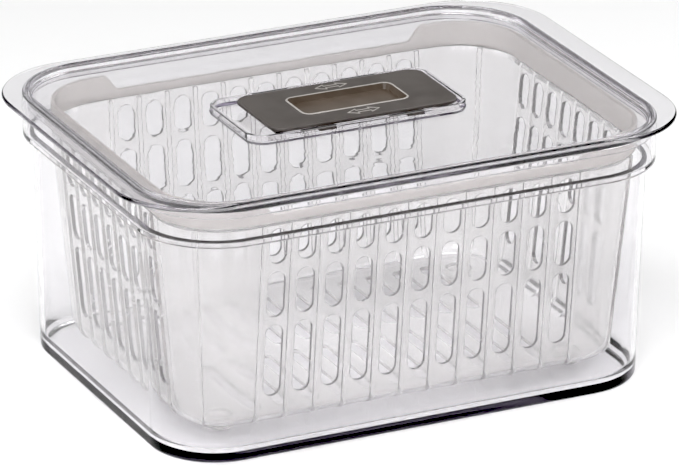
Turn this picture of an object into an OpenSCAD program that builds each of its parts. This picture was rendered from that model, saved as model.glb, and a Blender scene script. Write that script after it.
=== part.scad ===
// Fridge bin with a lift-out slotted basket, a lift-off lid and a sliding vent.
// Millimetres. +Z up, +X along the long side, front is -Y, origin at the middle of the underside.

/* [Bin] */
// Length of the bin wall at the ledge
bin_l = 268.8; // [200:0.2:360]
// Width of the bin wall at the ledge
bin_w = 202.8; // [140:0.2:280]
// Height of the ledge underside
ledge_z = 115; // [80:0.5:160]
// Height of the collar's top edge, where the lid rests
collar_z = 135.8; // [95:0.1:180]
// Corner radius of the wall at the ledge
bin_r = 37.8; // [20:0.1:60]
// How much the wall draws in from the ledge to the bottom
bin_draft = 3; // [0:0.1:8]
// Wall thickness
bin_t = 2.4; // [1.5:0.1:4]
// Floor thickness
floor_t = 3.2; // [2:0.1:6]
// How far the collar steps out from the wall
collar_out = 4.6; // [2:0.1:8]

/* [Basket] */
// Length over the rim band
rim_l = 258.4; // [180:0.2:340]
// Width over the rim band
rim_w = 185.8; // [120:0.2:260]
// Height of the rim's top edge
rim_z = 132; // [90:0.1:170]
// Height of the dipped edge along the long sides
dip_z = 124; // [85:0.1:165]
// Half length of the dip along its lower edge
dip_half = 83.5; // [30:0.5:110]
// Height of the rim band's lower edge
band_z = 119.8; // [80:0.1:160]
// Wall thickness
basket_t = 2; // [1.2:0.1:3]
// Draft of the basket walls, millimetres in per millimetre down
basket_draft = 0.095; // [0:0.005:0.15]
// Corner radius of the wall under the rim band
basket_r = 32.5; // [15:0.1:50]
// Height of the underside of the basket's floor
basket_z = 9.4; // [5:0.1:20]
// How far the loose basket rests to one side
basket_x = 2.7; // [0:0.1:3]
// Spacing of the slot columns on the long sides
pitch_long = 15.6; // [10:0.1:24]
// Spacing of the slot columns on the short sides
pitch_short = 15; // [10:0.1:24]
// Slot columns on a long side
cols_long = 11; // [3:2:15]
// Slot columns on a short side
cols_short = 7; // [3:2:9]
// Slot width
slot_w = 9.2; // [4:0.1:12]
// Rib width
rib_w = 2.8; // [1.6:0.1:5]
// How far a rib stands out from the wall
rib_out = 1.3; // [0.5:0.1:3]

/* [Lid] */
// Overall length
lid_l = 300; // [220:0.5:400]
// Overall width
lid_w = 215.4; // [150:0.2:300]
// Corner radius of the brim
lid_r = 44.4; // [20:0.1:60]
// Height of the brim's top face
lid_z = 138.3; // [100:0.1:190]
// Brim thickness
brim_t = 2.4; // [1.5:0.1:4]
// Height of the sunk panel's top face
panel_z = 134.6; // [95:0.1:185]
// Panel thickness
panel_t = 1.9; // [1.2:0.1:3]
// Height of the skirt's lower edge
skirt_z = 129.5; // [90:0.1:170]

/* [Vent] */
// Length over the fence around the vent
fence_l = 120; // [60:0.5:200]
// Width over the fence
fence_w = 58; // [30:0.5:100]
// Fence wall thickness
fence_t = 2; // [1.2:0.1:3]
// Height of the fence's top edge
fence_z = 137.4; // [100:0.1:190]
// Height of the vent well's floor
well_z = 133; // [95:0.1:185]
// Length of the sliding plate
plate_l = 102.6; // [50:0.1:180]
// Width of the sliding plate
plate_w = 50.2; // [20:0.1:90]
// Plate thickness
plate_t = 2; // [1:0.1:4]
// Height of the plate's top face
plate_z = 138.2; // [100:0.1:190]
// How far the plate slides
vent_travel = 10; // [4:0.5:20]
// Length of a slider tab
tab_l = 8.8; // [4:0.1:20]

/* [Hidden] */
$fn = 96;
arc_n = 6;
gap = 0.1;
eps = 0.02;

// corner centres and radii
bin_cx = bin_l / 2 - bin_r;
bin_cy = bin_w / 2 - bin_r;
lid_cx = lid_l / 2 - lid_r;
lid_cy = lid_w / 2 - lid_r;
ledge_t = 2.4;
collar_r = bin_r + collar_out;
collar_t = 2;
bin_slope = bin_draft / ledge_z;
bottom_fillet = 3;
inner_fillet = 8;

band_r = basket_r + 1.5;
band_t = 2.4;
basket_cx = rim_l / 2 - band_r;
basket_cy = rim_w / 2 - band_r;
heel_r = 9;
foot_r = 6.5;
tier_z = [25.1, 68, 96.8];
tier_top = [63.7, 92.3, 115.4];
rib_top = 118.2;
drain_y = [-65, 5];
drain_len = 60;
drain_w = 7;
dip_round = 4;

skirt_r = collar_r - collar_t - 0.4;
skirt_t = 1.8;
well_t = 1.8;
recess_r = skirt_r - 1.3;
edge_round = 1.1;
fence_r = 10;
window_gap = 24.2;
window_l = tab_l + vent_travel + 0.4;
window_z = [133.9, 136.6];
port_l = 8;
port_w = 5;
port_pitch = 20;

plate_r = 8;
hem = 3.4;
hem_t = 1.6;
hem_z = well_z + 0.3;
pocket_l = 56.8;
pocket_w = 24;
pocket_r = 4;
pocket_wall = 1.4;
pocket_floor = 135.2;
lip_h = 0.3;
lip_w = 0.9;
tab_z = [134.1, 136.4];
tab_reach = fence_w / 2 - 0.4;
arrow_l = 17;
arrow_h = 6;
stroke = 0.6;
stroke_h = 0.25;

// Wall radius of the bin at a height
function bin_at(z) = bin_r - (ledge_z - z) * bin_slope;
// Wall radius of the basket at a height
function basket_at(z) = basket_r - (band_z - z) * basket_draft;
// Points of an arc from angle a0 to a1
function arc(x, y, r, a0, a1, n = arc_n) =
    [for (i = [0 : n]) let (a = a0 + (a1 - a0) * i / n) [x + r * cos(a), y + r * sin(a)]];

// A straight run of a profile that faces +X at distance c, from -half to half
module run(c, half) {
    translate([c, half, 0])
        rotate([90, 0, 0])
            linear_extrude(2 * half)
                children();
}

// A profile led around a rounded rectangle whose corner centres are at cx, cy
module loop(cx, cy) {
    for (s = [0, 180])
        rotate([0, 0, s]) {
            run(cx, cy) children();
            translate([cx, cy, 0]) rotate_extrude(angle = 90) children();
        }
    for (s = [90, 270])
        rotate([0, 0, s]) {
            run(cy, cx) children();
            translate([cy, cx, 0]) rotate_extrude(angle = 90) children();
        }
}

// Flat rounded rectangle
module rect(l, w, r) {
    square([l, w - 2 * r], center = true);
    square([l - 2 * r, w], center = true);
    for (x = [-1, 1])
        for (y = [-1, 1])
            translate([x * (l / 2 - r), y * (w / 2 - r)])
                circle(r);
}

// Upright block with a rounded rectangle outline
module block(l, w, r, z0, z1) {
    translate([0, 0, z0])
        linear_extrude(z1 - z0)
            rect(l, w, r);
}

// Slot shape, long way along Y, from y0 to y1
module slot(w, y0, y1) {
    translate([-w / 2, y0 + w / 2]) square([w, y1 - y0 - w]);
    translate([0, y0 + w / 2]) circle(w / 2);
    translate([0, y1 - w / 2]) circle(w / 2);
}

module bin_profile() {
    top_r = collar_r - collar_t;
    ledge_top = ledge_z + ledge_t;
    polygon(concat(
        [[0, 0]],
        arc(bin_at(bottom_fillet) - bottom_fillet, bottom_fillet, bottom_fillet, -90, 0),
        arc(bin_r + 1, ledge_z - 1, 1, 180, 90, 3),
        arc(collar_r - 1.6, ledge_z + 1.6, 1.6, -90, 0, 4),
        arc(collar_r - 0.7, collar_z - 0.7, 0.7, 0, 90, 3),
        arc(top_r + 0.7, collar_z - 0.7, 0.7, 90, 180, 3),
        arc(top_r - 0.8, ledge_top + 0.8, 0.8, 0, -90, 3),
        arc(bin_at(ledge_top) - bin_t + 0.8, ledge_top - 0.8, 0.8, 90, 180, 3),
        arc(bin_at(inner_fillet + floor_t) - bin_t - inner_fillet,
            inner_fillet + floor_t, inner_fillet, 0, -90),
        [[0, floor_t]]
    ));
}

module bin_body() {
    color([0.9, 0.9, 0.95, 0.3])
        union() {
            loop(bin_cx, bin_cy) bin_profile();
            translate([-bin_cx, -bin_cy, 0])
                cube([2 * bin_cx, 2 * bin_cy, floor_t]);
        }
}

// Section of the basket's floor, wall and rim band
module basket_profile() {
    heel_z = basket_z + heel_r;
    heel_u = basket_at(heel_z) - heel_r;
    heel_i = heel_r - basket_t;
    polygon(concat(
        [[0, basket_z]],
        arc(heel_u, heel_z, heel_r, -90, 0),
        [[basket_r, band_z], [band_r, band_z]],
        arc(band_r - 0.8, rim_z - 0.8, 0.8, 0, 90, 3),
        arc(band_r - band_t + 0.8, rim_z - 0.8, 0.8, 90, 180, 3),
        [[band_r - band_t, band_z - 1], [basket_at(band_z - 3) - basket_t, band_z - 3]],
        arc(heel_u, heel_z, heel_i, 0, -90),
        [[0, basket_z + basket_t]]
    ));
}

// Section of one rib, outside the wall and under the heel
module rib_profile() {
    heel_z = basket_z + heel_r;
    heel_u = basket_at(heel_z) - heel_r;
    polygon(concat(
        arc(heel_u, heel_z, heel_r + rib_out, -80, 0),
        [[basket_at(rib_top) + rib_out, rib_top], [basket_at(rib_top) - 0.8, rib_top]],
        arc(heel_u, heel_z, heel_r - 0.8, 0, -80)
    ));
}

// One rib that faces +X, with a rounded top
module rib() {
    run(0, rib_w / 2) rib_profile();
    translate([basket_at(rib_top) - 0.8, 0, rib_top])
        rotate([0, 90, 0])
            cylinder(r = rib_w / 2, h = rib_out + 0.8);
}

module ribs() {
    for (s = [0, 180])
        rotate([0, 0, s])
            for (i = [0 : cols_short])
                translate([basket_cx, (i - cols_short / 2) * pitch_short, 0])
                    rib();
    for (s = [90, 270])
        rotate([0, 0, s])
            for (i = [0 : cols_long])
                translate([basket_cy, (i - cols_long / 2) * pitch_long, 0])
                    rib();
    for (x = [0, 1])
        for (y = [0, 1])
            mirror([x, 0, 0])
                mirror([0, y, 0])
                    translate([basket_cx, basket_cy, 0])
                        rotate([0, 0, 45])
                            rib();
}

// All wall slots of one pair of walls, drawn flat: columns along X, height along Y
module slot_field(cols, pitch) {
    for (i = [0 : cols - 1])
        for (k = [0 : 2])
            translate([(i - (cols - 1) / 2) * pitch, 0])
                slot(slot_w, tier_z[k], tier_top[k]);
}

// Outline of the finger dip, drawn flat
module dip() {
    w = dip_half;
    c = dip_round;
    translate([-w, dip_z + c]) square([2 * w, 20]);
    translate([-w + c, dip_z]) square([2 * (w - c), 10]);
    for (s = [-1, 1])
        translate([s * (w - c), dip_z + c]) circle(c);
    difference() {
        translate([-w - c, rim_z - c]) square([2 * (w + c), 10]);
        for (s = [-1, 1])
            translate([s * (w + c), rim_z - c]) circle(c);
    }
}

module basket() {
    color([0.93, 0.92, 0.91, 0.6])
        translate([basket_x, 0, 0])
            difference() {
                union() {
                    loop(basket_cx, basket_cy) basket_profile();
                    translate([-basket_cx, -basket_cy, basket_z])
                        cube([2 * basket_cx, 2 * basket_cy, basket_t]);
                    ribs();
                    for (x = [-1, 1])
                        for (y = [-1, 1])
                            translate([x * basket_cx, y * basket_cy, floor_t + gap])
                                cylinder(r = foot_r, h = basket_z - floor_t);
                }
                // slots through both long walls, then both short walls
                translate([0, rim_w, 0])
                    rotate([90, 0, 0])
                        linear_extrude(2 * rim_w)
                            slot_field(cols_long, pitch_long);
                translate([-rim_l, 0, 0])
                    rotate([90, 0, 90])
                        linear_extrude(2 * rim_l)
                            slot_field(cols_short, pitch_short);
                // drain slots in the floor
                translate([0, 0, basket_z - 5])
                    linear_extrude(12)
                        for (i = [0 : cols_long - 1])
                            for (y = drain_y)
                                translate([(i - (cols_long - 1) / 2) * pitch_long, 0])
                                    slot(drain_w, y, y + drain_len);
                // finger dips
                translate([0, rim_w, 0])
                    rotate([90, 0, 0])
                        linear_extrude(2 * rim_w)
                            dip();
            }
}

// Section of the brim, from the panel outward
module brim_profile() {
    z0 = lid_z - brim_t;
    polygon(concat(
        [[lid_r - 22, z0]],
        arc(lid_r - edge_round, z0 + edge_round, edge_round, -90, 0, 4),
        arc(lid_r - edge_round, lid_z - edge_round, edge_round, 0, 90, 4),
        [[lid_r - 22, lid_z]]
    ));
}

// Section of the sunk panel and the skirt that plugs into the collar
module plug_profile() {
    polygon(concat(
        [[0, panel_z - panel_t]],
        arc(skirt_r - skirt_t - 1, panel_z - panel_t - 1, 1, 90, 0, 3),
        arc(skirt_r - skirt_t + 0.5, skirt_z + 0.5, 0.5, 180, 270, 2),
        arc(skirt_r - 0.5, skirt_z + 0.5, 0.5, -90, 0, 2),
        [[skirt_r, lid_z - brim_t + 0.2], [recess_r + 1, lid_z - 0.5]],
        arc(recess_r + 0.6, lid_z - 0.6, 0.6, 90, 180, 3),
        arc(recess_r - 1, panel_z + 1, 1, 0, -90, 3),
        [[0, panel_z]]
    ));
}

module lid() {
    color([0.9, 0.9, 0.95, 0.3])
        difference() {
            union() {
                difference() {
                    loop(lid_cx, lid_cy) brim_profile();
                    block(2 * (bin_cx + recess_r + 0.4), 2 * (bin_cy + recess_r + 0.4),
                        recess_r + 0.4, panel_z - 2, lid_z + 2);
                }
                loop(bin_cx, bin_cy) plug_profile();
                translate([-bin_cx, -bin_cy, panel_z - panel_t])
                    cube([2 * bin_cx, 2 * bin_cy, panel_t]);
                block(fence_l, fence_w, fence_r, well_z - well_t, fence_z);
            }
            block(fence_l - 2 * fence_t, fence_w - 2 * fence_t, fence_r - fence_t,
                well_z, fence_z + 1);
            // windows that the slider's tabs ride in
            for (s = [-1, 1])
                translate([s * window_gap - window_l / 2, -fence_w / 2, window_z[0]])
                    cube([window_l, fence_w, window_z[1] - window_z[0]]);
            // air ports, closed by the slider's pads
            translate([0, 0, well_z - well_t - 1])
                linear_extrude(well_t + 2)
                    for (i = [-1, 0, 1])
                        for (y = [-1, 1])
                            translate([i * port_pitch + vent_travel / 2, y * port_w])
                                rotate([0, 0, 90])
                                    slot(port_w, -port_l / 2, port_l / 2);
        }
}

// One raised stroke between two points of the arrow
module stroke_line(a, b) {
    d = b - a;
    translate([a[0], a[1], 0])
        rotate([0, 0, atan2(d[1], d[0])])
            translate([-stroke / 2, -stroke / 2, 0])
                cube([norm(d) + stroke, stroke, stroke_h + 0.2]);
}

// Outlined double-headed arrow along X
module arrow() {
    head = 5;
    shaft = arrow_h / 5;
    for (s = [-1, 1])
        for (t = [-1, 1]) {
            stroke_line([s * arrow_l / 2, 0], [s * (arrow_l / 2 - head), t * arrow_h / 2]);
            stroke_line([s * (arrow_l / 2 - head), t * arrow_h / 2],
                [s * (arrow_l / 2 - head), t * shaft]);
        }
    for (t = [-1, 1])
        stroke_line([-arrow_l / 2 + head, t * shaft], [arrow_l / 2 - head, t * shaft]);
}

module vent_slider() {
    color([0.36, 0.34, 0.33])
        translate([vent_travel / 2, 0, 0])
            difference() {
                union() {
                    block(plate_l, plate_w, plate_r, plate_z - plate_t, plate_z);
                    // hem under the plate, set in from its edge
                    difference() {
                        block(plate_l - 2 * hem, plate_w - 2 * hem, plate_r - hem,
                            hem_z, plate_z - plate_t + eps);
                        block(plate_l - 2 * (hem + hem_t), plate_w - 2 * (hem + hem_t),
                            plate_r - hem - hem_t, hem_z - 1, plate_z - plate_t);
                    }
                    // finger pocket and its bright lip
                    block(pocket_l + 2 * pocket_wall, pocket_w + 2 * pocket_wall,
                        pocket_r + pocket_wall, pocket_floor - 1.2, plate_z - 1);
                    block(pocket_l + 2 * lip_w, pocket_w + 2 * lip_w,
                        pocket_r + lip_w, plate_z - 1, plate_z + lip_h);
                    // pads that close the air ports
                    for (i = [-1, 0, 1])
                        translate([i * port_pitch, 0, 0])
                            block(port_l + 1.6, 3 * port_w + 2, 1, hem_z, pocket_floor - 0.5);
                    // tabs that ride in the fence's windows
                    for (s = [-1, 1])
                        translate([s * window_gap - tab_l / 2, -tab_reach, tab_z[0]])
                            cube([tab_l, 2 * tab_reach, tab_z[1] - tab_z[0]]);
                    for (y = [-1, 1])
                        translate([0, y * 18.6, plate_z - 0.2])
                            arrow();
                }
                block(pocket_l, pocket_w, pocket_r, pocket_floor, plate_z + 2);
            }
}

bin_body();
basket();
lid();
vent_slider();
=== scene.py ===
import math

import bmesh
import bpy
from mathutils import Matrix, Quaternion, Vector
from mathutils.geometry import delaunay_2d_cdt


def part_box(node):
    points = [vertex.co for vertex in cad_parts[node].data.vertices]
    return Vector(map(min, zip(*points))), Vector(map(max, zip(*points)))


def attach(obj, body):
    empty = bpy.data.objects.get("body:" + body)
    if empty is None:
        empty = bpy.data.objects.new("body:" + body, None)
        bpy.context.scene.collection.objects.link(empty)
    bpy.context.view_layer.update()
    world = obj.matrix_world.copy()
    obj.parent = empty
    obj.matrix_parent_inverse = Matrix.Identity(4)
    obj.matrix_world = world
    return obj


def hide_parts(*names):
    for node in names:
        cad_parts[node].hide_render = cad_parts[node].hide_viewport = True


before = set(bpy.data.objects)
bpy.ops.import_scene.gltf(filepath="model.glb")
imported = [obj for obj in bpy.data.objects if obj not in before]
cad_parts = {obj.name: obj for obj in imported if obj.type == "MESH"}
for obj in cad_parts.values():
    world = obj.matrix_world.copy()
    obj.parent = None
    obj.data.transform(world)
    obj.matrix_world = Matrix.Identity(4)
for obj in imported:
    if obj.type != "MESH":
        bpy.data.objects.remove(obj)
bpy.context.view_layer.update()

MM = 0.001

# ---------------------------------------------------------------------------
# Sizes, in millimetres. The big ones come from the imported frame.
# ---------------------------------------------------------------------------
lid_lo, lid_hi = [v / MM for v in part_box("lid")]
bin_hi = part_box("bin_body")[1] / MM
bas_lo, bas_hi = [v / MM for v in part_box("basket")]
pla_lo, pla_hi = [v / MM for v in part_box("vent_slider")]

COLLAR_R = 42.4
BIN_CX, BIN_CY = bin_hi.x - COLLAR_R, bin_hi.y - COLLAR_R
COLLAR_Z = bin_hi.z
BIN_R, BIN_T, FLOOR_T = 37.8, 2.4, 3.2
LEDGE_Z, LEDGE_T = 115.0, 2.4
BIN_SLOPE = 3.0 / LEDGE_Z
COLLAR_T = 2.0

BASKET_X = (bas_lo.x + bas_hi.x) / 2
BAND_R, BAND_T, BASKET_T = 34.0, 2.4, 2.0
BAS_CX, BAS_CY = bas_hi.x - BASKET_X - BAND_R, bas_hi.y - BAND_R
RIM_Z, DIP_Z, BAND_Z, RIM_ROUND = bas_hi.z, 124.0, 119.8, 0.8
DIP_HALF, DIP_RUN = 80.5, 8.5
BASKET_R, BASKET_DRAFT = 32.5, 0.095
BASKET_Z, HEEL_R = 9.4, 9.0
FOOT_Z, FOOT_R = bas_lo.z, 6.5
RIB_TOP, RIB_HALF, RIB_OUT, CORNER_RIB_R = 118.2, 1.4, 1.3, 29.0
PITCH_LONG, PITCH_SHORT = 15.6, 15.0
COLS_LONG, COLS_SHORT = 11, 7
SLOT_HALF = 4.6
TIERS = ((25.1, 63.7), (68.0, 92.3), (96.8, 115.4))
DRAIN_HALF = 3.5
DRAINS = ((-65, -5), (5, 65))

LID_R = 44.4
LID_CX, LID_CY = lid_hi.x - LID_R, lid_hi.y - LID_R
LID_Z, BRIM_T = lid_hi.z, 2.4
PANEL_Z, PANEL_T = 134.6, 1.9
SKIRT_Z, SKIRT_R, SKIRT_T = lid_lo.z, COLLAR_R - COLLAR_T - 0.4, 1.8
RECESS_R = SKIRT_R - 1.3
FENCE_X, FENCE_Y, FENCE_R, FENCE_T, FENCE_Z = 60.0, 29.0, 10.0, 2.0, 137.4
WINDOW_X, WINDOW_HALF, WINDOW_LO, WINDOW_HI = 24.2, 9.6, 134.95, 136.6
WELL_Z, WELL_T = 133.0, 1.8

PLATE_X = (pla_lo.x + pla_hi.x) / 2
PLATE_L, PLATE_W, PLATE_R = (pla_hi.x - pla_lo.x) / 2, 25.1, 8.0
PLATE_Z, PLATE_T, LIP_H = pla_hi.z - 0.3, 2.0, 0.3
TAB_HALF, TAB_LO, TAB_HI, TAB_IN, TAB_OUT = 4.4, 135.05, 136.4, 21.0, 28.6
POCKET_X, POCKET_Y, POCKET_R, POCKET_Z = 28.4, 12.0, 4.0, 135.2
POCKET_WALL, TRAY_Z, HEM_OUT, HEM_IN = 1.4, 134.0, 3.4, 5.0
PORT_PITCH, PORT_Y, PORT_HALF, PORT_END = 20.0, 5, 2.5, 4
PAD_X, PAD_Y, ARROW_Y = 4.8, 8.5, 18.6


# ---------------------------------------------------------------------------
# Mesh building
# ---------------------------------------------------------------------------
def arc(u, z, r, a0, a1, n):
    """Points of a fillet in a section, from angle a0 to a1 in degrees."""
    out = []
    for i in range(n + 1):
        a = math.radians(a0 + (a1 - a0) * i / n)
        out.append((u + r * math.cos(a), z + r * math.sin(a)))
    return out


def outline(cx, cy, r, z, n=14, x0=0.0, y0=0.0):
    """A rounded rectangle as a closed ring of points, from its corner centres."""
    pts = []
    for k, (sx, sy) in enumerate(((1, 1), (-1, 1), (-1, -1), (1, -1))):
        for i in range(n + 1):
            a = math.radians(90 * k + 90 * i / n)
            pts.append((x0 + sx * cx + r * math.cos(a), y0 + sy * cy + r * math.sin(a), z))
    return pts


def obround(half, lo, hi, n=10):
    """A slot outline in a flat drawing: half width, lower and upper end."""
    pts = []
    for i in range(n + 1):
        a = math.pi * i / n
        pts.append((half * math.cos(a), hi - half + half * math.sin(a)))
    for i in range(n + 1):
        a = math.pi + math.pi * i / n
        pts.append((half * math.cos(a), lo + half + half * math.sin(a)))
    return pts


def circle(cx, cy, r, z, n=40):
    return [(cx + r * math.cos(math.tau * k / n), cy + r * math.sin(math.tau * k / n), z) for k in range(n)]


def plan(p):
    """A point's place in a drawing seen from above."""
    return p[:2]


def link(obj):
    bpy.context.scene.collection.objects.link(obj)
    return obj


class Shell:
    """The points and faces of one closed surface, in millimetres."""

    def __init__(self):
        self.v, self.f = [], []

    def ring(self, pts):
        first = len(self.v)
        self.v.extend(tuple(p) for p in pts)
        return list(range(first, len(self.v)))

    def bridge(self, a, b, leave=()):
        """Quads between two rings. The ones numbered in leave stay open, for a wall with holes."""
        n = len(a)
        for i in range(n):
            j = (i + 1) % n
            if i not in leave:
                self.f.append((a[i], a[j], b[j], b[i]))

    def chain(self, rings):
        for a, b in zip(rings, rings[1:]):
            self.bridge(a, b)

    def fill(self, loops, flat):
        """Triangles between loops of points already made: the first is the outside, the rest are holes.
        flat gives a point's place in the flat drawing."""
        ids = [i for loop in loops for i in loop]
        at = [Vector(flat(self.v[i])) for i in ids]
        edges, start = [], 0
        for loop in loops:
            n = len(loop)
            edges += [(start + k, start + (k + 1) % n) for k in range(n)]
            start += n
        out = delaunay_2d_cdt(at, edges, [], 1, 1e-5, True)
        spots, faces, source = out[0], out[2], out[3]
        polys, start = [], 0
        for loop in loops:
            polys.append(at[start : start + len(loop)])
            start += len(loop)
        for tri in faces:
            c = (spots[tri[0]] + spots[tri[1]] + spots[tri[2]]) / 3
            inside = False
            for poly in polys:
                q = poly[-1]
                for p in poly:
                    if (p.y > c.y) != (q.y > c.y) and c.x < (q.x - p.x) * (c.y - p.y) / (q.y - p.y) + p.x:
                        inside = not inside
                    q = p
            if inside:
                self.f.append(tuple(ids[source[k][0]] for k in tri))

    def block(self, lo, hi, bevel):
        """A small block with bevelled edges, laid over the rest of a solid piece."""
        bm = bmesh.new()
        bmesh.ops.create_cube(bm, size=1.0)
        for v in bm.verts:
            v.co = Vector([lo[k] + (hi[k] - lo[k]) * (v.co[k] + 0.5) for k in range(3)])
        bmesh.ops.bevel(bm, geom=bm.edges[:], offset=bevel, segments=2, affect="EDGES", profile=0.5)
        bm.verts.index_update()
        base = len(self.v)
        self.v.extend(tuple(v.co) for v in bm.verts)
        self.f.extend(tuple(base + v.index for v in f.verts) for f in bm.faces)
        bm.free()

    def build(self, name, sharp=32.0):
        """Makes the Blender object, smooth except at edges that turn by more than sharp degrees."""
        bm = bmesh.new()
        vs = [bm.verts.new([c * MM for c in p]) for p in self.v]
        for f in self.f:
            if len(set(f)) > 2:
                try:
                    bm.faces.new([vs[i] for i in f])
                except ValueError:
                    pass
        bmesh.ops.remove_doubles(bm, verts=bm.verts, dist=2e-7)
        bmesh.ops.recalc_face_normals(bm, faces=bm.faces)
        loose = [e for e in bm.edges if not e.is_manifold]
        if loose:
            print(name, "has", len(loose), "open edges")
        mesh = bpy.data.meshes.new(name)
        bm.to_mesh(mesh)
        bm.free()
        mesh.polygons.foreach_set("use_smooth", [True] * len(mesh.polygons))
        mesh.set_sharp_from_angle(angle=math.radians(sharp))
        obj = link(bpy.data.objects.new(name, mesh))
        mod = obj.modifiers.new("normals", "WEIGHTED_NORMAL")
        mod.keep_sharp = True
        mod.weight = 80
        return obj


# ---------------------------------------------------------------------------
# Bin: one section led round a rounded rectangle, with a ledge and a collar
# ---------------------------------------------------------------------------
def bin_at(z):
    return BIN_R - (LEDGE_Z - z) * BIN_SLOPE


def make_bin():
    s = Shell()
    top_r = COLLAR_R - COLLAR_T
    ledge_top = LEDGE_Z + LEDGE_T
    bottom_r, inner_r = 3.0, 8.0
    section = (
        arc(bin_at(bottom_r) - bottom_r, bottom_r, bottom_r, -90, 0, 8)
        + [(bin_at(40), 40.0), (bin_at(80), 80.0)]
        + arc(BIN_R + 0.4, LEDGE_Z - 0.4, 0.4, 180, 90, 4)
        + arc(COLLAR_R - 0.7, LEDGE_Z + 0.7, 0.7, -90, 0, 6)
        + arc(COLLAR_R - 0.7, COLLAR_Z - 0.7, 0.7, 0, 90, 5)
        + arc(top_r + 0.7, COLLAR_Z - 0.7, 0.7, 90, 180, 5)
        + arc(top_r - 0.4, ledge_top + 0.4, 0.4, 0, -90, 4)
        + arc(bin_at(ledge_top) - BIN_T + 0.5, ledge_top - 0.5, 0.5, 90, 180, 5)
        + arc(bin_at(inner_r + FLOOR_T) - BIN_T - inner_r, inner_r + FLOOR_T, inner_r, 0, -90, 12)
    )
    rings = [s.ring(outline(BIN_CX, BIN_CY, u, z, 20)) for u, z in section]
    s.chain(rings)
    s.fill([rings[0]], plan)
    s.fill([rings[-1]], plan)
    return s.build("bin_clear")


# ---------------------------------------------------------------------------
# Basket: ribs are part of the wall, slots and drains have rounded rims
# ---------------------------------------------------------------------------
def basket_at(z):
    return BASKET_R - (BAND_Z - z) * BASKET_DRAFT


def smooth(t):
    t = min(1.0, max(0.0, t))
    return t * t * (3 - 2 * t)


def rim_height(x):
    """Height of the rim's top along a long side: dipped in the middle, with an S curve at each end."""
    return DIP_Z + (RIM_Z - DIP_Z) * smooth((abs(x) - DIP_HALF) / DIP_RUN)


RIB_STEPS = (-1.0, -0.9, -0.68, -0.36, 0.0, 0.36, 0.68, 0.9, 1.0)


def stations():
    """Places round the basket, in order. Each has a base point, an outward direction, a rib height,
    a rim height, whether it reaches the floor, and the side it is on."""
    out = []

    def rib(centre, base, direction, rim, side):
        for k in RIB_STEPS:
            bump = RIB_OUT * math.sqrt(max(0.0, 1 - k * k))
            at = centre + k * RIB_HALF
            out.append((base(at), direction, bump, rim(at), True, side))

    sides = (
        (BAS_CX, COLS_LONG, PITCH_LONG, lambda t: (t, -BAS_CY), (0, -1), rim_height, "front"),
        (BAS_CY, COLS_SHORT, PITCH_SHORT, lambda t: (BAS_CX, t), (1, 0), lambda t: RIM_Z, "right"),
        (BAS_CX, COLS_LONG, PITCH_LONG, lambda t: (-t, BAS_CY), (0, 1), rim_height, "back"),
        (BAS_CY, COLS_SHORT, PITCH_SHORT, lambda t: (-BAS_CX, -t), (-1, 0), lambda t: RIM_Z, "left"),
    )
    extra = [DIP_HALF + DIP_RUN / 10 * i for i in range(11)]
    for k, (half, cols, pitch, base, direction, rim, side) in enumerate(sides):
        out.append((base(-half), direction, 0.0, rim(-half), True, side))
        out.append((base(-half + 1), direction, 0.0, rim(-half + 1), True, side))
        ribs = [(i - cols / 2) * pitch for i in range(cols + 1)]
        marks = [(c, "rib") for c in ribs]
        if cols == COLS_LONG:
            marks += [(s * e, "extra") for e in extra for s in (-1, 1)
                      if all(abs(s * e - c) > RIB_HALF + 0.1 for c in ribs)]
        for at, kind in sorted(marks):
            if kind == "rib":
                rib(at, base, direction, rim, side)
            else:
                low = abs(at) > ribs[-1]
                out.append((base(at), direction, 0.0, rim(at), low, side))
        out.append((base(half - 1), direction, 0.0, rim(half - 1), True, side))
        start = -90 + 90 * k
        corner = base(half)
        span = math.degrees(RIB_HALF / CORNER_RIB_R)
        angles = [(9 * i, 0.0) for i in range(0, 5)]
        angles += [(45 + span * t, RIB_OUT * math.sqrt(max(0.0, 1 - t * t))) for t in RIB_STEPS]
        angles += [(90 - 9 * i, 0.0) for i in range(4, 0, -1)]
        for a, bump in angles:
            r = math.radians(start + a)
            out.append((corner, (math.cos(r), math.sin(r)), bump, RIM_Z, True, "corner"))
    return out


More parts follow.
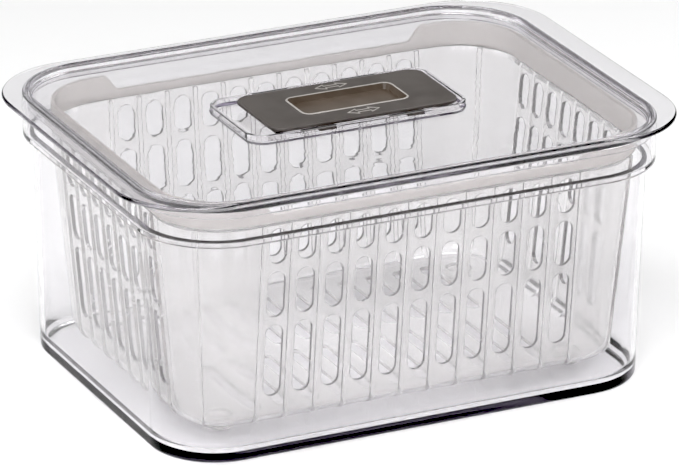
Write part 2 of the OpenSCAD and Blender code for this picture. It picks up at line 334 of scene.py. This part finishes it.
def make_basket():
    s = Shell()
    st = stations()
    low = [i for i, t in enumerate(st) if t[4]]
    heel_z = BASKET_Z + HEEL_R
    heel_u = basket_at(heel_z) - HEEL_R
    wall_top = RIB_TOP - RIB_HALF

    def row(level, which):
        """One ring. level gives (u, z) from a station's rim height, then how much of the rib shows."""
        pts = {}
        for i in which:
            (bx, by), (nx, ny), bump, rim, _, _ = st[i]
            u, z, share = level(rim)
            u += bump * share
            pts[i] = (BASKET_X + bx + nx * u, by + ny * u, z)
        ids = s.ring([pts[i] for i in which])
        return dict(zip(which, ids))

    def bridge(a, b):
        keys = list(a)
        s.bridge([a[k] for k in keys], [b[k] for k in keys])

    def fixed(u, z, share=0.0):
        return lambda rim: (u, z, share)

    def rim_step(centre, angle):
        """A level on the rounded top of the rim, which follows the dip."""
        c, d = math.cos(math.radians(angle)), math.sin(math.radians(angle))
        return lambda rim: (centre + RIM_ROUND * c, rim - RIM_ROUND + RIM_ROUND * d, 0.0)

    everyone = list(range(len(st)))
    # outside, from the floor up
    outer_low = []
    for i in range(9):
        a = math.radians(-90 + 90 * i / 8)
        share = min(1.0, max(0.0, (i - 0.5) / 2))
        outer_low.append(row(fixed(heel_u + HEEL_R * math.cos(a), heel_z + HEEL_R * math.sin(a), share), low))
    outer_high = [row(fixed(basket_at(wall_top), wall_top, 1.0), everyone)]
    for k in (0.35, 0.68, 0.9, 1.0):
        z = wall_top + RIB_HALF * k
        outer_high.append(row(fixed(basket_at(z), z, math.sqrt(max(0.0, 1 - k * k))), everyone))
    outer_high.append(row(fixed(basket_at(BAND_Z - 0.5), BAND_Z - 0.5), everyone))
    outer_high.append(row(fixed(basket_at(BAND_Z) + 0.35, BAND_Z - 0.1), everyone))
    outer_high.append(row(fixed(BAND_R - 0.3, BAND_Z + 0.02), everyone))
    outer_high.append(row(fixed(BAND_R, BAND_Z + 0.4), everyone))
    for angle in range(0, 91, 15):
        outer_high.append(row(rim_step(BAND_R - RIM_ROUND, angle), everyone))
    for angle in range(90, 181, 15):
        outer_high.append(row(rim_step(BAND_R - BAND_T + RIM_ROUND, angle), everyone))
    # inside, from the rim down
    outer_high.append(row(fixed(BAND_R - BAND_T, BAND_Z - 0.6), everyone))
    outer_high.append(row(fixed(BAND_R - BAND_T - 0.15, BAND_Z - 1.1), everyone))
    outer_high.append(row(fixed(basket_at(wall_top) - BASKET_T + 0.12, wall_top + 0.5), everyone))
    inner_top = row(fixed(basket_at(wall_top) - BASKET_T, wall_top), everyone)
    inner_low = []
    for i in range(9):
        a = math.radians(-90 * i / 8)
        r = HEEL_R - BASKET_T
        inner_low.append(row(fixed(heel_u + r * math.cos(a), heel_z + r * math.sin(a)), low))
    for chain in (outer_low, outer_high + [inner_top], inner_low):
        for a, b in zip(chain, chain[1:]):
            bridge(a, b)

    # the walls between the heel and the rim, with their slots
    def wall(bottom, top, skin):
        count = len(low)
        for n in range(count):
            a, b = low[n], low[(n + 1) % count]
            between = [i for i in range(a + 1, b)] if b > a else []
            side = st[a][5]
            straight = side == st[b][5] and side != "corner"
            (ax, ay), (bx, by) = st[a][0], st[b][0]
            width = abs(bx - ax) + abs(by - ay)
            pitch = PITCH_LONG if side in ("front", "back") else PITCH_SHORT
            loop = [bottom[a], bottom[b], top[b]] + [top[i] for i in reversed(between)] + [top[a]]
            if straight and abs(width - (pitch - 2 * RIB_HALF)) < 0.01:
                nx, ny = st[a][1]
                mx, my = (ax + bx) / 2, (ay + by) / 2
                holes = skin(mx, my, nx, ny)
                axis = 0 if ny else 1
                s.fill([loop] + holes, lambda p, k=axis: (p[k], p[2]))
            elif between:
                axis = 0 if st[a][1][1] else 1
                s.fill([loop], lambda p, k=axis: (p[k], p[2]))
            else:
                s.f.append(tuple(loop))

    rims = {}

    def make_rings(mx, my, nx, ny):
        """All rings of the slots of one column, from the outer skin to the inner one."""
        key = (round(mx, 2), round(my, 2), nx, ny)
        if key not in rims:
            cut = []
            steps = ((0.2, 0.0), (0.06, 0.06), (0.0, 0.2),
                     (0.0, BASKET_T - 0.2), (0.06, BASKET_T - 0.06), (0.2, BASKET_T))
            for lo, hi in TIERS:
                rings = []
                for grow, depth in steps:
                    pts = []
                    for q, z in obround(SLOT_HALF + grow, lo - grow, hi + grow):
                        u = basket_at(z) - depth
                        pts.append((BASKET_X + mx + nx * u - ny * q, my + ny * u + nx * q, z))
                    rings.append(s.ring(pts))
                s.chain(rings)
                cut.append(rings)
            rims[key] = cut
        return rims[key]

    wall(outer_low[-1], outer_high[0], lambda *k: [c[0] for c in make_rings(*k)])
    wall(inner_low[0], inner_top, lambda *k: [c[-1] for c in make_rings(*k)])

    # floor, with drain slots and feet
    drains = []
    z0, z1 = BASKET_Z, BASKET_Z + BASKET_T
    steps = ((0.2, z0), (0.06, z0 + 0.06), (0.0, z0 + 0.2), (0.0, z1 - 0.2), (0.06, z1 - 0.06), (0.2, z1))
    for i in range(COLS_LONG):
        x = BASKET_X + (i - (COLS_LONG - 1) / 2) * PITCH_LONG
        for lo, hi in DRAINS:
            rings = [s.ring([(x + q, y, z) for q, y in obround(DRAIN_HALF + g, lo - g, hi + g, 8)])
                     for g, z in steps]
            s.chain(rings)
            drains.append(rings)
    feet = []
    foot = ((FOOT_R + 0.8, z0), (FOOT_R + 0.2, z0 - 0.2), (FOOT_R, z0 - 0.8),
            (FOOT_R, FOOT_Z + 0.8), (FOOT_R - 0.25, FOOT_Z + 0.25), (FOOT_R - 0.8, FOOT_Z))
    for sx in (-1, 1):
        for sy in (-1, 1):
            cx, cy = BASKET_X + sx * BAS_CX, sy * BAS_CY
            rings = [s.ring(circle(cx, cy, r, z)) for r, z in foot]
            s.chain(rings)
            s.fill([rings[-1]], plan)
            feet.append(rings)
    s.fill([list(outer_low[0].values())] + [d[0] for d in drains] + [f[0] for f in feet], plan)
    s.fill([list(inner_low[-1].values())] + [d[-1] for d in drains], plan)
    return s.build("basket_clear")


# ---------------------------------------------------------------------------
# Lid: brim, sunk panel, skirt and the fenced well
# ---------------------------------------------------------------------------
def make_lid():
    s = Shell()
    brim_low = LID_Z - BRIM_T
    brim_r, fence_r = 1.1, 0.6
    fence_steps = 10

    def brim(u, z):
        return s.ring(outline(LID_CX, LID_CY, u, z, 20))

    def plug(u, z):
        return s.ring(outline(BIN_CX, BIN_CY, u, z, 20))

    def fence(inset, z):
        return s.ring(outline(FENCE_X - FENCE_R, FENCE_Y - FENCE_R, FENCE_R - inset, z, fence_steps))

    edge = [brim(u, z) for u, z in arc(LID_R - brim_r, brim_low + brim_r, brim_r, -90, 0, 7)
            + arc(LID_R - brim_r, LID_Z - brim_r, brim_r, 0, 90, 7)]
    s.chain(edge)
    # brim top in to the recess, and down to the panel
    step = [plug(u, z) for u, z in arc(RECESS_R + 0.6, LID_Z - 0.6, 0.6, 90, 180, 6)
            + arc(RECESS_R - 1, PANEL_Z + 1, 1, 0, -90, 6)]
    s.chain(step)
    s.fill([edge[-1], step[0]], plan)
    # panel top in to the fence, over it and down into the well
    outside = [fence(-0.15, PANEL_Z), fence(0, PANEL_Z + 0.15)]
    turns = [math.radians(angle) for angle in (0, 30, 60, 90)]
    fence_low = FENCE_Z - fence_r
    over = [fence(fence_r - fence_r * math.cos(turn), fence_low + fence_r * math.sin(turn))
            for turn in turns]
    over += [fence(FENCE_T - fence_r + fence_r * math.sin(turn), fence_low + fence_r * math.cos(turn))
             for turn in turns]
    inside = [fence(FENCE_T, WELL_Z + fence_r), fence(FENCE_T + 0.18, WELL_Z + 0.18),
              fence(FENCE_T + fence_r, WELL_Z)]
    for rings in (outside, over, inside):
        s.chain(rings)
    # both skins of the long walls are open at the windows that the slider's tabs ride in
    corner = fence_steps + 1
    straight = {corner - 1: 1, 3 * corner - 1: -1}
    s.bridge(outside[-1], over[0], straight)
    s.bridge(over[-1], inside[0], straight)
    for i, side in straight.items():
        tunnels = []
        for centre in (-WINDOW_X, WINDOW_X):
            rings = []
            for grow, depth in ((0.1, 0.0), (0.0, 0.1), (0.0, FENCE_T - 0.1), (0.1, FENCE_T)):
                x0, x1 = centre - WINDOW_HALF - grow, centre + WINDOW_HALF + grow
                lo, hi = WINDOW_LO - grow, WINDOW_HI + grow
                y = side * (FENCE_Y - depth)
                rings.append(s.ring([(x0, y, lo), (x1, y, lo), (x1, y, hi), (x0, y, hi)]))
            s.chain(rings)
            tunnels.append(rings)
        for a, b, skin in ((outside[-1], over[0], 0), (over[-1], inside[0], -1)):
            frame_loop = [a[i], a[i + 1], b[i + 1], b[i]]
            s.fill([frame_loop] + [t[skin] for t in tunnels], lambda p: (p[0], p[2]))
    wall = [outside[0], inside[-1]]
    s.fill([step[-1], wall[0]], plan)
    # underside: brim in to the skirt, down and up it, the panel and the well
    under = [plug(SKIRT_R + 0.5, brim_low), plug(SKIRT_R + 0.15, brim_low - 0.15),
             plug(SKIRT_R, brim_low - 0.5)]
    under += [plug(u, z) for u, z in arc(SKIRT_R - 0.7, SKIRT_Z + 0.7, 0.7, 0, -90, 5)
              + arc(SKIRT_R - SKIRT_T + 0.7, SKIRT_Z + 0.7, 0.7, -90, -180, 5)]
    under += [plug(u, z) for u, z in arc(SKIRT_R - SKIRT_T - 1, PANEL_Z - PANEL_T - 1, 1, 0, 90, 6)]
    s.chain(under)
    s.fill([edge[0], under[0]], plan)
    panel_low = PANEL_Z - PANEL_T
    well_low = WELL_Z - WELL_T
    tub = [fence(-0.5, panel_low), fence(-0.15, panel_low - 0.15), fence(0, panel_low - 0.5),
           fence(0, well_low + fence_r), fence(0.18, well_low + 0.18), fence(fence_r, well_low)]
    s.chain(tub)
    s.fill([under[-1], tub[0]], plan)
    # the well's floor, with its air ports
    ports = []
    for i in (-1, 0, 1):
        for sy in (-1, 1):
            cx, cy = PORT_PITCH * i + PLATE_X, PORT_Y * sy
            rings = [s.ring([(cx + y, cy + q, z)
                             for q, y in obround(PORT_HALF + g, -PORT_END - g, PORT_END + g, 8)])
                     for g, z in ((0.3, WELL_Z), (0.0, WELL_Z - 0.3), (0.0, well_low + 0.3), (0.3, well_low))]
            s.chain(rings)
            ports.append(rings)
    s.fill([wall[-1]] + [p[0] for p in ports], plan)
    s.fill([tub[-1]] + [p[-1] for p in ports], plan)
    return s.build("lid_clear")


# ---------------------------------------------------------------------------
# Sliding vent plate
# ---------------------------------------------------------------------------
def make_slider():
    s = Shell()

    def plate(inset, z):
        return s.ring(outline(PLATE_L - PLATE_R, PLATE_W - PLATE_R, PLATE_R - inset, z, 12, PLATE_X))

    def pocket(grow, z):
        return s.ring(outline(POCKET_X - POCKET_R, POCKET_Y - POCKET_R, POCKET_R + grow, z, 12, PLATE_X))

    low = PLATE_Z - PLATE_T
    hem_z = WELL_Z + 0.3
    top_r, low_r = 1.0, 0.5
    side = []
    for angle in range(0, 91, 15):
        turn = math.radians(angle)
        side.append(plate(top_r - top_r * math.sin(turn), PLATE_Z - top_r + top_r * math.cos(turn)))
    for angle in (0, 30, 60, 90):
        turn = math.radians(angle)
        side.append(plate(low_r - low_r * math.cos(turn), low + low_r - low_r * math.sin(turn)))
    side += [plate(HEM_OUT - 0.5, low), plate(HEM_OUT - 0.15, low - 0.1), plate(HEM_OUT, low - 0.5),
             plate(HEM_OUT, hem_z + 0.5), plate(HEM_OUT + 0.15, hem_z + 0.15), plate(HEM_OUT + 0.5, hem_z)]
    s.chain(side)
    # hollow underside: up inside the hem, across, and down round the pocket's own floor
    under = [plate(HEM_IN - 0.3, hem_z), plate(HEM_IN - 0.09, hem_z + 0.09), plate(HEM_IN, hem_z + 0.3),
             plate(HEM_IN, low - 0.2), plate(HEM_IN + 0.2, low)]
    s.chain([side[-1]] + under)
    tray = [pocket(POCKET_WALL + 0.3, low), pocket(POCKET_WALL, low - 0.3), pocket(POCKET_WALL, TRAY_Z + 0.3),
            pocket(POCKET_WALL - 0.3, TRAY_Z)]
    s.chain(tray)
    s.fill([under[-1], tray[0]], plan)
    s.fill([tray[-1]], plan)
    # pads that close the well's air ports
    for i in (-1, 0, 1):
        x = PLATE_X + PORT_PITCH * i
        s.block((x - PAD_X, -PAD_Y, hem_z), (x + PAD_X, PAD_Y, TRAY_Z + 0.7), 0.3)
    # over the raised lip and down into the finger pocket
    lip_z = PLATE_Z + LIP_H
    dish = [pocket(1.1, PLATE_Z), pocket(0.95, PLATE_Z + 0.06), pocket(0.8, lip_z - 0.1),
            pocket(0.62, lip_z), pocket(0.3, lip_z), pocket(0.1, lip_z - 0.08), pocket(0.0, lip_z - 0.3),
            pocket(-1.1, POCKET_Z + 0.6), pocket(-1.35, POCKET_Z + 0.2), pocket(-1.8, POCKET_Z)]
    s.chain(dish)
    s.fill([side[0], dish[0]], plan)
    s.fill([dish[-1]], plan)
    # tabs that ride in the fence's windows
    for centre in (-WINDOW_X, WINDOW_X):
        for sy in (-1, 1):
            y0, y1 = sorted((sy * TAB_IN, sy * TAB_OUT))
            x = PLATE_X + centre
            s.block((x - TAB_HALF, y0, TAB_LO), (x + TAB_HALF, y1, TAB_HI), 0.3)
    return s.build("vent_plate")


def make_arrows():
    """Two outlined double-headed arrows, raised from the plate."""
    s = Shell()
    length, head, tall = 17.0, 5.0, 6.0
    shaft = tall / 5
    half, neck = length / 2, length / 2 - head
    pts = [(-half, 0), (-neck, tall / 2), (-neck, shaft), (neck, shaft), (neck, tall / 2), (half, 0),
           (neck, -tall / 2), (neck, -shaft), (-neck, -shaft), (-neck, -tall / 2)]
    # the stroke's section: how far each ring stands off the outline, and its height
    low, high = PLATE_Z - 0.1, PLATE_Z + 0.2
    stroke = ((0.28, low), (0.18, high), (-0.18, high), (-0.28, low))
    n = len(pts)
    for cy in (-ARROW_Y, ARROW_Y):
        rings = []
        for off, z in stroke:
            ring = []
            for i in range(n):
                a, b, c = Vector(pts[i - 1]), Vector(pts[i]), Vector(pts[(i + 1) % n])
                d0, d1 = (b - a).normalized(), (c - b).normalized()
                n0, n1 = Vector((-d0.y, d0.x)), Vector((-d1.y, d1.x))
                m = (n0 + n1) / max(0.3, 1 + n0.dot(n1))
                q = b + m * off
                ring.append((PLATE_X + q.x, cy + q.y, z))
            rings.append(s.ring(ring))
        s.chain(rings)
        s.bridge(rings[-1], rings[0])
    return s.build("vent_arrows")


# ---------------------------------------------------------------------------
# Materials
# ---------------------------------------------------------------------------
def second_finish(obj, mat, chosen):
    """Gives another material to some faces. chosen picks them by their middle, in mm, and their normal."""
    obj.data.materials.append(mat)
    for face in obj.data.polygons:
        if chosen(face.center / MM, face.normal):
            face.material_index = len(obj.data.materials) - 1


def in_slot(c, n):
    """Whether a face of the basket is a cut edge inside one of its wall slots; these faces get a painted
    shade.
    """
    if abs(c.y) > BAS_CY + FOOT_R:
        along, outward, pitch, cols = c.x - BASKET_X, n.y, PITCH_LONG, COLS_LONG
    else:
        along, outward, pitch, cols = c.y, n.x, PITCH_SHORT, COLS_SHORT
    off_centre = abs(along - round(along / pitch) * pitch)
    in_column = abs(along) < cols / 2 * pitch and off_centre < SLOT_HALF + 0.1
    in_tier = TIERS[0][0] - 0.1 < c.z < TIERS[-1][1] + 0.1
    return in_column and in_tier and abs(outward) < 0.6


def in_pocket(c, n):
    """Whether a face of the vent plate is a wall or the floor of its finger pocket."""
    return abs(c.x - PLATE_X) < POCKET_X and abs(c.y) < POCKET_Y and POCKET_Z - 0.1 < c.z < PLATE_Z - 0.1


def clear_plastic(name, color, rough, absorb, density, wave, wave_scale, clear=1.0):
    """Moulded plastic that light passes through. Lamps reach what is behind it, least where a wall
    stands edge-on."""
    mat = bpy.data.materials.new(name)
    mat.use_nodes = True
    nt = mat.node_tree
    bsdf = nt.nodes["Principled BSDF"]
    out = nt.nodes["Material Output"]
    bsdf.inputs["Base Color"].default_value = (*color, 1)
    bsdf.inputs["IOR"].default_value = 1.49
    bsdf.inputs["Transmission Weight"].default_value = clear
    tex = nt.nodes.new("ShaderNodeTexCoord")
    # slow waviness of moulded walls, then the faint marks of handling
    wavy = nt.nodes.new("ShaderNodeTexNoise")
    wavy.inputs["Scale"].default_value = wave_scale
    wavy.inputs["Detail"].default_value = 1.0
    nt.links.new(tex.outputs["Object"], wavy.inputs["Vector"])
    bump = nt.nodes.new("ShaderNodeBump")
    bump.inputs["Strength"].default_value = 1.0
    bump.inputs["Distance"].default_value = wave * MM
    nt.links.new(wavy.outputs["Fac"], bump.inputs["Height"])
    nt.links.new(bump.outputs["Normal"], bsdf.inputs["Normal"])
    marks = nt.nodes.new("ShaderNodeTexNoise")
    marks.inputs["Scale"].default_value = 140.0
    marks.inputs["Detail"].default_value = 5.0
    nt.links.new(tex.outputs["Object"], marks.inputs["Vector"])
    ramp = nt.nodes.new("ShaderNodeMapRange")
    ramp.inputs["From Min"].default_value = 0.35
    ramp.inputs["From Max"].default_value = 0.75
    ramp.inputs["To Min"].default_value = rough[0]
    ramp.inputs["To Max"].default_value = rough[1]
    nt.links.new(marks.outputs["Fac"], ramp.inputs["Value"])
    nt.links.new(ramp.outputs["Result"], bsdf.inputs["Roughness"])
    path = nt.nodes.new("ShaderNodeLightPath")
    edge = nt.nodes.new("ShaderNodeLayerWeight")
    edge.inputs["Blend"].default_value = 0.35
    tone = nt.nodes.new("ShaderNodeMapRange")
    tone.inputs["To Min"].default_value = 0.97
    tone.inputs["To Max"].default_value = 0.25
    nt.links.new(edge.outputs["Facing"], tone.inputs["Value"])
    through = nt.nodes.new("ShaderNodeBsdfTransparent")
    nt.links.new(tone.outputs["Result"], through.inputs["Color"])
    mix = nt.nodes.new("ShaderNodeMixShader")
    nt.links.new(path.outputs["Is Shadow Ray"], mix.inputs["Fac"])
    nt.links.new(bsdf.outputs["BSDF"], mix.inputs[1])
    nt.links.new(through.outputs["BSDF"], mix.inputs[2])
    nt.links.new(mix.outputs["Shader"], out.inputs["Surface"])
    vol = nt.nodes.new("ShaderNodeVolumeAbsorption")
    vol.inputs["Color"].default_value = (*absorb, 1)
    vol.inputs["Density"].default_value = density
    nt.links.new(vol.outputs["Volume"], out.inputs["Volume"])
    return mat


def satin_plastic(name, dark, light, rough):
    mat = bpy.data.materials.new(name)
    mat.use_nodes = True
    nt = mat.node_tree
    bsdf = nt.nodes["Principled BSDF"]
    tex = nt.nodes.new("ShaderNodeTexCoord")
    tone = nt.nodes.new("ShaderNodeTexNoise")
    tone.inputs["Scale"].default_value = 60.0
    tone.inputs["Detail"].default_value = 4.0
    nt.links.new(tex.outputs["Object"], tone.inputs["Vector"])
    ramp = nt.nodes.new("ShaderNodeValToRGB")
    ramp.color_ramp.elements[0].position = 0.35
    ramp.color_ramp.elements[0].color = (*dark, 1)
    ramp.color_ramp.elements[1].position = 0.65
    ramp.color_ramp.elements[1].color = (*light, 1)
    nt.links.new(tone.outputs["Fac"], ramp.inputs["Fac"])
    nt.links.new(ramp.outputs["Color"], bsdf.inputs["Base Color"])
    grain = nt.nodes.new("ShaderNodeTexNoise")
    grain.inputs["Scale"].default_value = 2200.0
    grain.inputs["Detail"].default_value = 3.0
    nt.links.new(tex.outputs["Object"], grain.inputs["Vector"])
    bump = nt.nodes.new("ShaderNodeBump")
    bump.inputs["Strength"].default_value = 0.35
    bump.inputs["Distance"].default_value = 0.03 * MM
    nt.links.new(grain.outputs["Fac"], bump.inputs["Height"])
    nt.links.new(bump.outputs["Normal"], bsdf.inputs["Normal"])
    spread = nt.nodes.new("ShaderNodeMapRange")
    spread.inputs["To Min"].default_value = rough - 0.05
    spread.inputs["To Max"].default_value = rough + 0.07
    nt.links.new(tone.outputs["Fac"], spread.inputs["Value"])
    nt.links.new(spread.outputs["Result"], bsdf.inputs["Roughness"])
    return mat


WATER_CLEAR, SLIGHTLY_MILKY = (0.99, 0.985, 0.995), (0.72, 0.67, 0.64)
bin_mat = clear_plastic("clear_bin", WATER_CLEAR, rough=(0.0, 0.02),
                        absorb=(0.6, 0.58, 0.63), density=18.0, wave=0.02, wave_scale=28.0)
lid_mat = clear_plastic("clear_lid", WATER_CLEAR, rough=(0.0, 0.02),
                        absorb=(0.6, 0.57, 0.64), density=28.0, wave=0.06, wave_scale=80.0)
basket_mat = clear_plastic("clear_basket", (0.985, 0.98, 0.975), rough=(0.1, 0.18),
                           absorb=SLIGHTLY_MILKY, density=4.0, wave=0.03, wave_scale=60.0, clear=0.86)
band_mat = clear_plastic("frosted_band", (0.82, 0.79, 0.77), rough=(0.3, 0.38),
                         absorb=SLIGHTLY_MILKY, density=8.0, wave=0.03, wave_scale=60.0, clear=0.78)
# The slots' cut edges are a darker, less clear grey: painted shade, standing in for the dark lines that the
# slot walls draw by refraction.
slot_shade_mat = clear_plastic("slot_painted_shade", (0.7, 0.695, 0.7), rough=(0.2, 0.3),
                        absorb=SLIGHTLY_MILKY, density=8.0, wave=0.03, wave_scale=60.0, clear=0.7)
smoke_mat = satin_plastic("smoke_vent", (0.122, 0.114, 0.109), (0.146, 0.137, 0.131), 0.42)
pocket_mat = satin_plastic("smoke_pocket", (0.135, 0.117, 0.103), (0.165, 0.143, 0.126), 0.34)
# A light grey on the raised arrows and the top of the pocket's lip: painted highlight, standing in for the
# glints along their edges.
raised_glint_mat = satin_plastic("smoke_painted_glint", (0.42, 0.4, 0.38), (0.5, 0.48, 0.46), 0.25)

# ---------------------------------------------------------------------------
# Pieces
# ---------------------------------------------------------------------------
bin_obj = make_bin()
bin_obj.data.materials.append(bin_mat)
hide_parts("bin_body")
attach(bin_obj, "bin")

basket_obj = make_basket()
basket_obj.data.materials.append(basket_mat)
second_finish(basket_obj, band_mat, lambda c, n: c.z > BAND_Z - 0.2)
# the faces inside the wall slots get the painted shade
second_finish(basket_obj, slot_shade_mat, in_slot)
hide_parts("basket")
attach(basket_obj, "basket")

lid_obj = make_lid()
lid_obj.data.materials.append(lid_mat)
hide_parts("lid")
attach(lid_obj, "lid")

plate_obj = make_slider()
plate_obj.data.materials.append(smoke_mat)
# the top of the pocket's raised lip gets the light grey of painted highlight
second_finish(plate_obj, raised_glint_mat, lambda c, n: c.z > PLATE_Z + 0.02)
second_finish(plate_obj, pocket_mat, in_pocket)
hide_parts("vent_slider")
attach(plate_obj, "vent")

arrow_obj = make_arrows()
# the arrows get the light grey of painted highlight
arrow_obj.data.materials.append(raised_glint_mat)
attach(arrow_obj, "vent")


# ---------------------------------------------------------------------------
# Floor, light and camera
# ---------------------------------------------------------------------------
def stops(ramp, rows):
    """Sets a colour ramp to grey levels at the given positions."""
    while len(ramp.elements) < len(rows):
        ramp.elements.new(0.5)
    for element, (at, level) in zip(ramp.elements, rows):
        element.position = at
        element.color = (level, level, level, 1)


# a plain pale floor, just under the bin
FLOOR_HALF, FLOOR_Z = 6, -0.0002
floor_mesh = bpy.data.meshes.new("floor")
corners = [(x * FLOOR_HALF, y * FLOOR_HALF, FLOOR_Z) for x, y in ((-1, -1), (1, -1), (1, 1), (-1, 1))]
floor_mesh.from_pydata(corners, [], [(0, 1, 2, 3)])
floor = link(bpy.data.objects.new("floor", floor_mesh))
floor_mat = bpy.data.materials.new("floor")
floor_mat.use_nodes = True
matt = floor_mat.node_tree.nodes["Principled BSDF"]
matt.inputs["Base Color"].default_value = (0.92, 0.92, 0.92, 1)
matt.inputs["Roughness"].default_value = 0.9
matt.inputs["Specular IOR Level"].default_value = 0.1
floor_mesh.materials.append(floor_mat)

# a grey sky, the same all round: brightest part way up, and dark at the horizon and overhead, so that
# clear edges draw dark
world = bpy.data.worlds.new("studio")
bpy.context.scene.world = world
world.use_nodes = True
wt = world.node_tree
sky = wt.nodes.new("ShaderNodeTexCoord")
axes = wt.nodes.new("ShaderNodeSeparateXYZ")
band = wt.nodes.new("ShaderNodeValToRGB")
wt.links.new(sky.outputs["Generated"], axes.inputs["Vector"])
wt.links.new(axes.outputs["Z"], band.inputs["Fac"])
stops(band.color_ramp, ((0.0, 0.14), (0.12, 0.14), (0.22, 0.38), (0.48, 0.36), (0.56, 0.02), (1.0, 0.02)))
wt.links.new(band.outputs["Color"], wt.nodes["Background"].inputs["Color"])


LAMPS_AIM_AT = Vector((0, 0, 0.06))


def softbox(name, loc, size, power):
    data = bpy.data.lights.new(name, "AREA")
    data.shape = "RECTANGLE"
    data.size, data.size_y = size, size
    data.energy = power
    obj = link(bpy.data.objects.new(name, data))
    obj.location = loc
    obj.rotation_mode = "QUATERNION"
    obj.rotation_quaternion = (LAMPS_AIM_AT - Vector(loc)).to_track_quat("-Z", "Y")
    obj.visible_camera = False


softbox("key", (-0.5, -0.95, 1.35), 1.1, 17)
softbox("left", (-1.15, 0.7, 1.3), 1.0, 12)
softbox("right", (1.2, -0.1, 1.3), 1.0, 11.5)

# the camera stands at the azimuth and elevation, and looks past the target by a small turn and roll
AZIMUTH, ELEVATION, DISTANCE = math.radians(-25.655), math.radians(21.894), 3.1165
TARGET = Vector((-0.010465, 0.003674, 0.067597))
TURN, ROLL = math.radians(-0.2233), math.radians(0.259)
LENS = 331.3

cam_data = bpy.data.cameras.new("camera")
cam_data.sensor_width = 36.0
cam_data.lens = LENS
cam_data.clip_start, cam_data.clip_end = 0.05, 50
cam = link(bpy.data.objects.new("camera", cam_data))
back = Vector((math.sin(AZIMUTH) * math.cos(ELEVATION), -math.cos(AZIMUTH) * math.cos(ELEVATION),
               math.sin(ELEVATION)))
cam.location = TARGET + back * DISTANCE
cam.rotation_mode = "QUATERNION"
turn = Quaternion((0, 1, 0), TURN)
roll = Quaternion((0, 0, 1), ROLL)
cam.rotation_quaternion = (-back).to_track_quat("-Z", "Y") @ turn @ roll
bpy.context.scene.camera = cam

scene = bpy.context.scene
scene.view_settings.view_transform = "Standard"
# the exposure of a product picture, as two levels: what counts as black and as white
BLACK, WHITE = 0.07, 0.77
scene.view_settings.use_curve_mapping = True
levels = scene.view_settings.curve_mapping
levels.black_level = (BLACK, BLACK, BLACK)
levels.white_level = (WHITE, WHITE, WHITE)
levels.update()
scene.cycles.max_bounces = 40
scene.cycles.transmission_bounces = 40
scene.cycles.glossy_bounces = 16
scene.cycles.transparent_max_bounces = 48
scene.cycles.use_denoising = True
